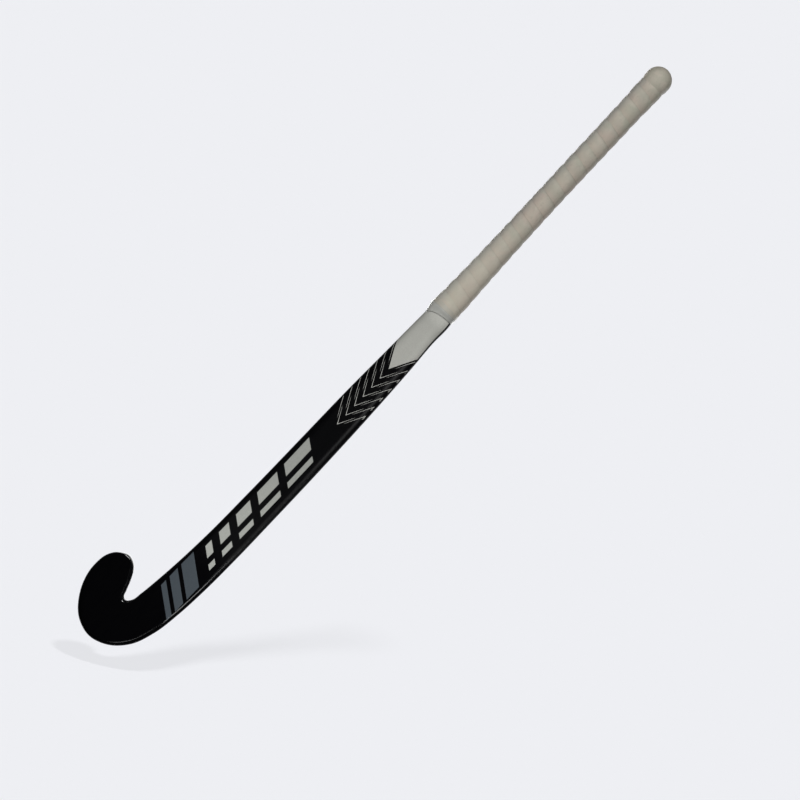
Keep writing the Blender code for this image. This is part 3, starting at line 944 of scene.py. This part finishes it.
# Stage: a pale floor that lies level in the photograph, under the hook. From beneath it lets the view through.
stageSizes = {
    "floorUp": (0.19, 0.8, 0.25),  # in the picture: right, up, toward the camera
    "aside": 80 * mm,
    "drop": 25 * mm,
    "reach": 6.0,
    "litShare": 0.11,  # how much of the floor's tone is lit, and so can be shaded
    "pale": paint(238, 239, 243),
    "fill": 0.03,
}


def inPicture(direction):
    right, up, toward = direction
    return (sideward * right + upward * up + towardCamera * toward).normalized()


floorUp = inPicture(stageSizes["floorUp"])
floorDeep = floorUp.cross(sideward).normalized()
floorRight = floorDeep.cross(floorUp)
lowestSpot = min(vertex.co.dot(floorUp) for vertex in bpy.data.objects["laminate_body"].data.vertices)
bpy.ops.object.select_all(action="DESELECT")
bpy.ops.mesh.primitive_plane_add(size=2 * stageSizes["reach"])
floor = bpy.context.object
floor.name = "floor"
footing = Vector((0.0, 0.0, -holdHeight)) + sideward * stageSizes["aside"]
footing += floorUp * (lowestSpot - stageSizes["drop"] - footing.dot(floorUp))
for vertex in floor.data.vertices:
    vertex.co = footing + floorRight * vertex.co.x + floorDeep * vertex.co.y
floor.visible_shadow = False
floor.visible_diffuse = False
floor.visible_glossy = False
floor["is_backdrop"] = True


def floorFinish():
    made = Finish("pale_floor", {})
    made.tree.nodes.remove(made.shader)
    pale = stageSizes["pale"]
    lit = made.node("BsdfDiffuse", None, {"Color": pale})
    own = made.node("Emission", None, {"Color": pale, "Strength": 1.0})
    seen = made.node("MixShader", None, {0: stageSizes["litShare"], 1: own, 2: lit})
    clear = made.node("BsdfTransparent")
    beneath = made.node("NewGeometry", output="Backfacing")
    shown = made.node("MixShader", None, {0: beneath, 1: seen, 2: clear})
    made.feed(made.tree.nodes["Material Output"].inputs["Surface"], shown)
    return made


floor.data.materials.append(floorFinish().material)

# World: a pale backdrop to the eye, to clear parts and to gloss, and a faint fill for everything else
world = bpy.data.worlds.new("studio")
world.use_nodes = True
bpy.context.scene.world = world
room = Wiring(world.node_tree)
fill = room.tree.nodes["Background"]
fill.inputs["Color"].default_value = (1.0, 1.0, 1.0, 1.0)
fill.inputs["Strength"].default_value = stageSizes["fill"]
backdrop = room.node("Background", None, {"Color": stageSizes["pale"], "Strength": 1.0})
lookY = room.axes(room.node("TexCoord", output="Generated"))[1]
behind = room.rise(lookY, 0.5, 1.0)  # the camera's side of the room is dark, as gloss shows
gloss = room.node("LightPath", output="Is Glossy Ray") * behind
sight = room.node("LightPath", output="Is Camera Ray").join("MAXIMUM", gloss)
sight = sight.join("MAXIMUM", room.node("LightPath", output="Is Transmission Ray"))
both = room.node("MixShader", None, {0: sight, 1: Wire(room, fill.outputs[0]), 2: backdrop})
room.feed(room.tree.nodes["World Output"].inputs["Surface"], both)

# Lamps stand by turn from the face toward the heel side and by rise, both in degrees.
# The handle and the lacquered body have their own, so that gloss and cushion can each be lit as they need.
sunSizes = {
    "handleKey": {"turn": -2.0, "rise": 12.0, "soft": 8.0, "level": 0.87},
    "handleHeel": {"turn": 150.0, "rise": -3.0, "soft": 12.0, "level": 0.62},
    "handleToe": {"turn": -150.0, "rise": -3.0, "soft": 12.0, "level": 0.62},
    "bodyKey": {"turn": -5.0, "rise": 62.0, "soft": 20.0, "level": 1.66},
    "bodyBack": {"turn": 180.0, "rise": 30.0, "soft": 60.0, "level": 0.6},
}
stripSizes = {
    "heelStrip": {"turn": 34.0, "rise": 0.0, "away": 0.7, "aim": -0.28,
                  "size": (0.45, 0.35), "power": 0.16, "spread": 44.0},
    "footStrip": {"turn": 68.0, "rise": -2.0, "away": 0.5, "aim": -0.61,
                  "size": (0.1, 0.22), "power": 0.11, "spread": 50.0},
    "hookStrip": {"turn": 28.0, "rise": -30.0, "away": 0.5, "aim": -0.67,
                  "size": (0.08, 0.35), "power": 0.14, "spread": 60.0},
}
stripDepth = 20 * mm  # the strips aim at the middle of the section
shadowSun = {"toward": (0.52, 1.0, 0.43), "soft": 6.0}


def lampToward(name, kind, direction, place=None):
    lamp = bpy.data.objects.new(name, bpy.data.lights.new(name, kind))
    bpy.context.scene.collection.objects.link(lamp)
    lamp.visible_camera = False
    lamp.location = place or direction * 3
    lamp.rotation_mode = "QUATERNION"
    lamp.rotation_quaternion = (-direction).to_track_quat("-Z", "Y")
    return lamp


def aimed(turn, rise):
    turn, rise = math.radians(turn), math.radians(rise)
    return Vector((math.sin(turn) * math.cos(rise), -math.cos(turn) * math.cos(rise), math.sin(rise)))


def addSun(name, direction, sizes, lit):
    lamp = lampToward(name, "SUN", direction)
    lamp.data.energy = math.pi * sizes["level"]
    lamp.data.angle = math.radians(sizes["soft"])
    lamp.light_linking.receiver_collection = lit


litBody = bpy.data.collections.new("litBody")
litHandle = bpy.data.collections.new("litHandle")
litFloor = bpy.data.collections.new("litFloor")
for piece in bpy.context.scene.objects:
    if piece.type == "MESH":
        lit = litFloor if piece == floor else litBody if piece.name == "laminate_body" else litHandle
        lit.objects.link(piece)
for lampName, sizes in sunSizes.items():
    lit = litBody if "body" in lampName else litHandle
    addSun(lampName, aimed(sizes["turn"], sizes["rise"]), sizes, lit)
direction = inPicture(shadowSun["toward"])
shadowSun["level"] = (1.0 - stageSizes["fill"]) / direction.dot(floorUp)  # the floor keeps its own tone
addSun("shadow", direction, shadowSun, litFloor)
for lampName, sizes in stripSizes.items():
    direction = aimed(sizes["turn"], sizes["rise"])
    target = Vector((0, stripDepth, sizes["aim"]))
    strip = lampToward(lampName, "AREA", direction, target + direction * sizes["away"])
    strip.data.shape = "RECTANGLE"
    strip.data.size, strip.data.size_y = sizes["size"]
    strip.data.energy = sizes["power"]
    strip.data.spread = math.radians(sizes["spread"])
    strip.light_linking.receiver_collection = litBody
bpy.context.scene.view_settings.view_transform = "Standard"
print("stage and lamps set")

low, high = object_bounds()
sizes = {"cad": [list(cadLow), list(cadHigh)], "visual": [list(low), list(high)]}
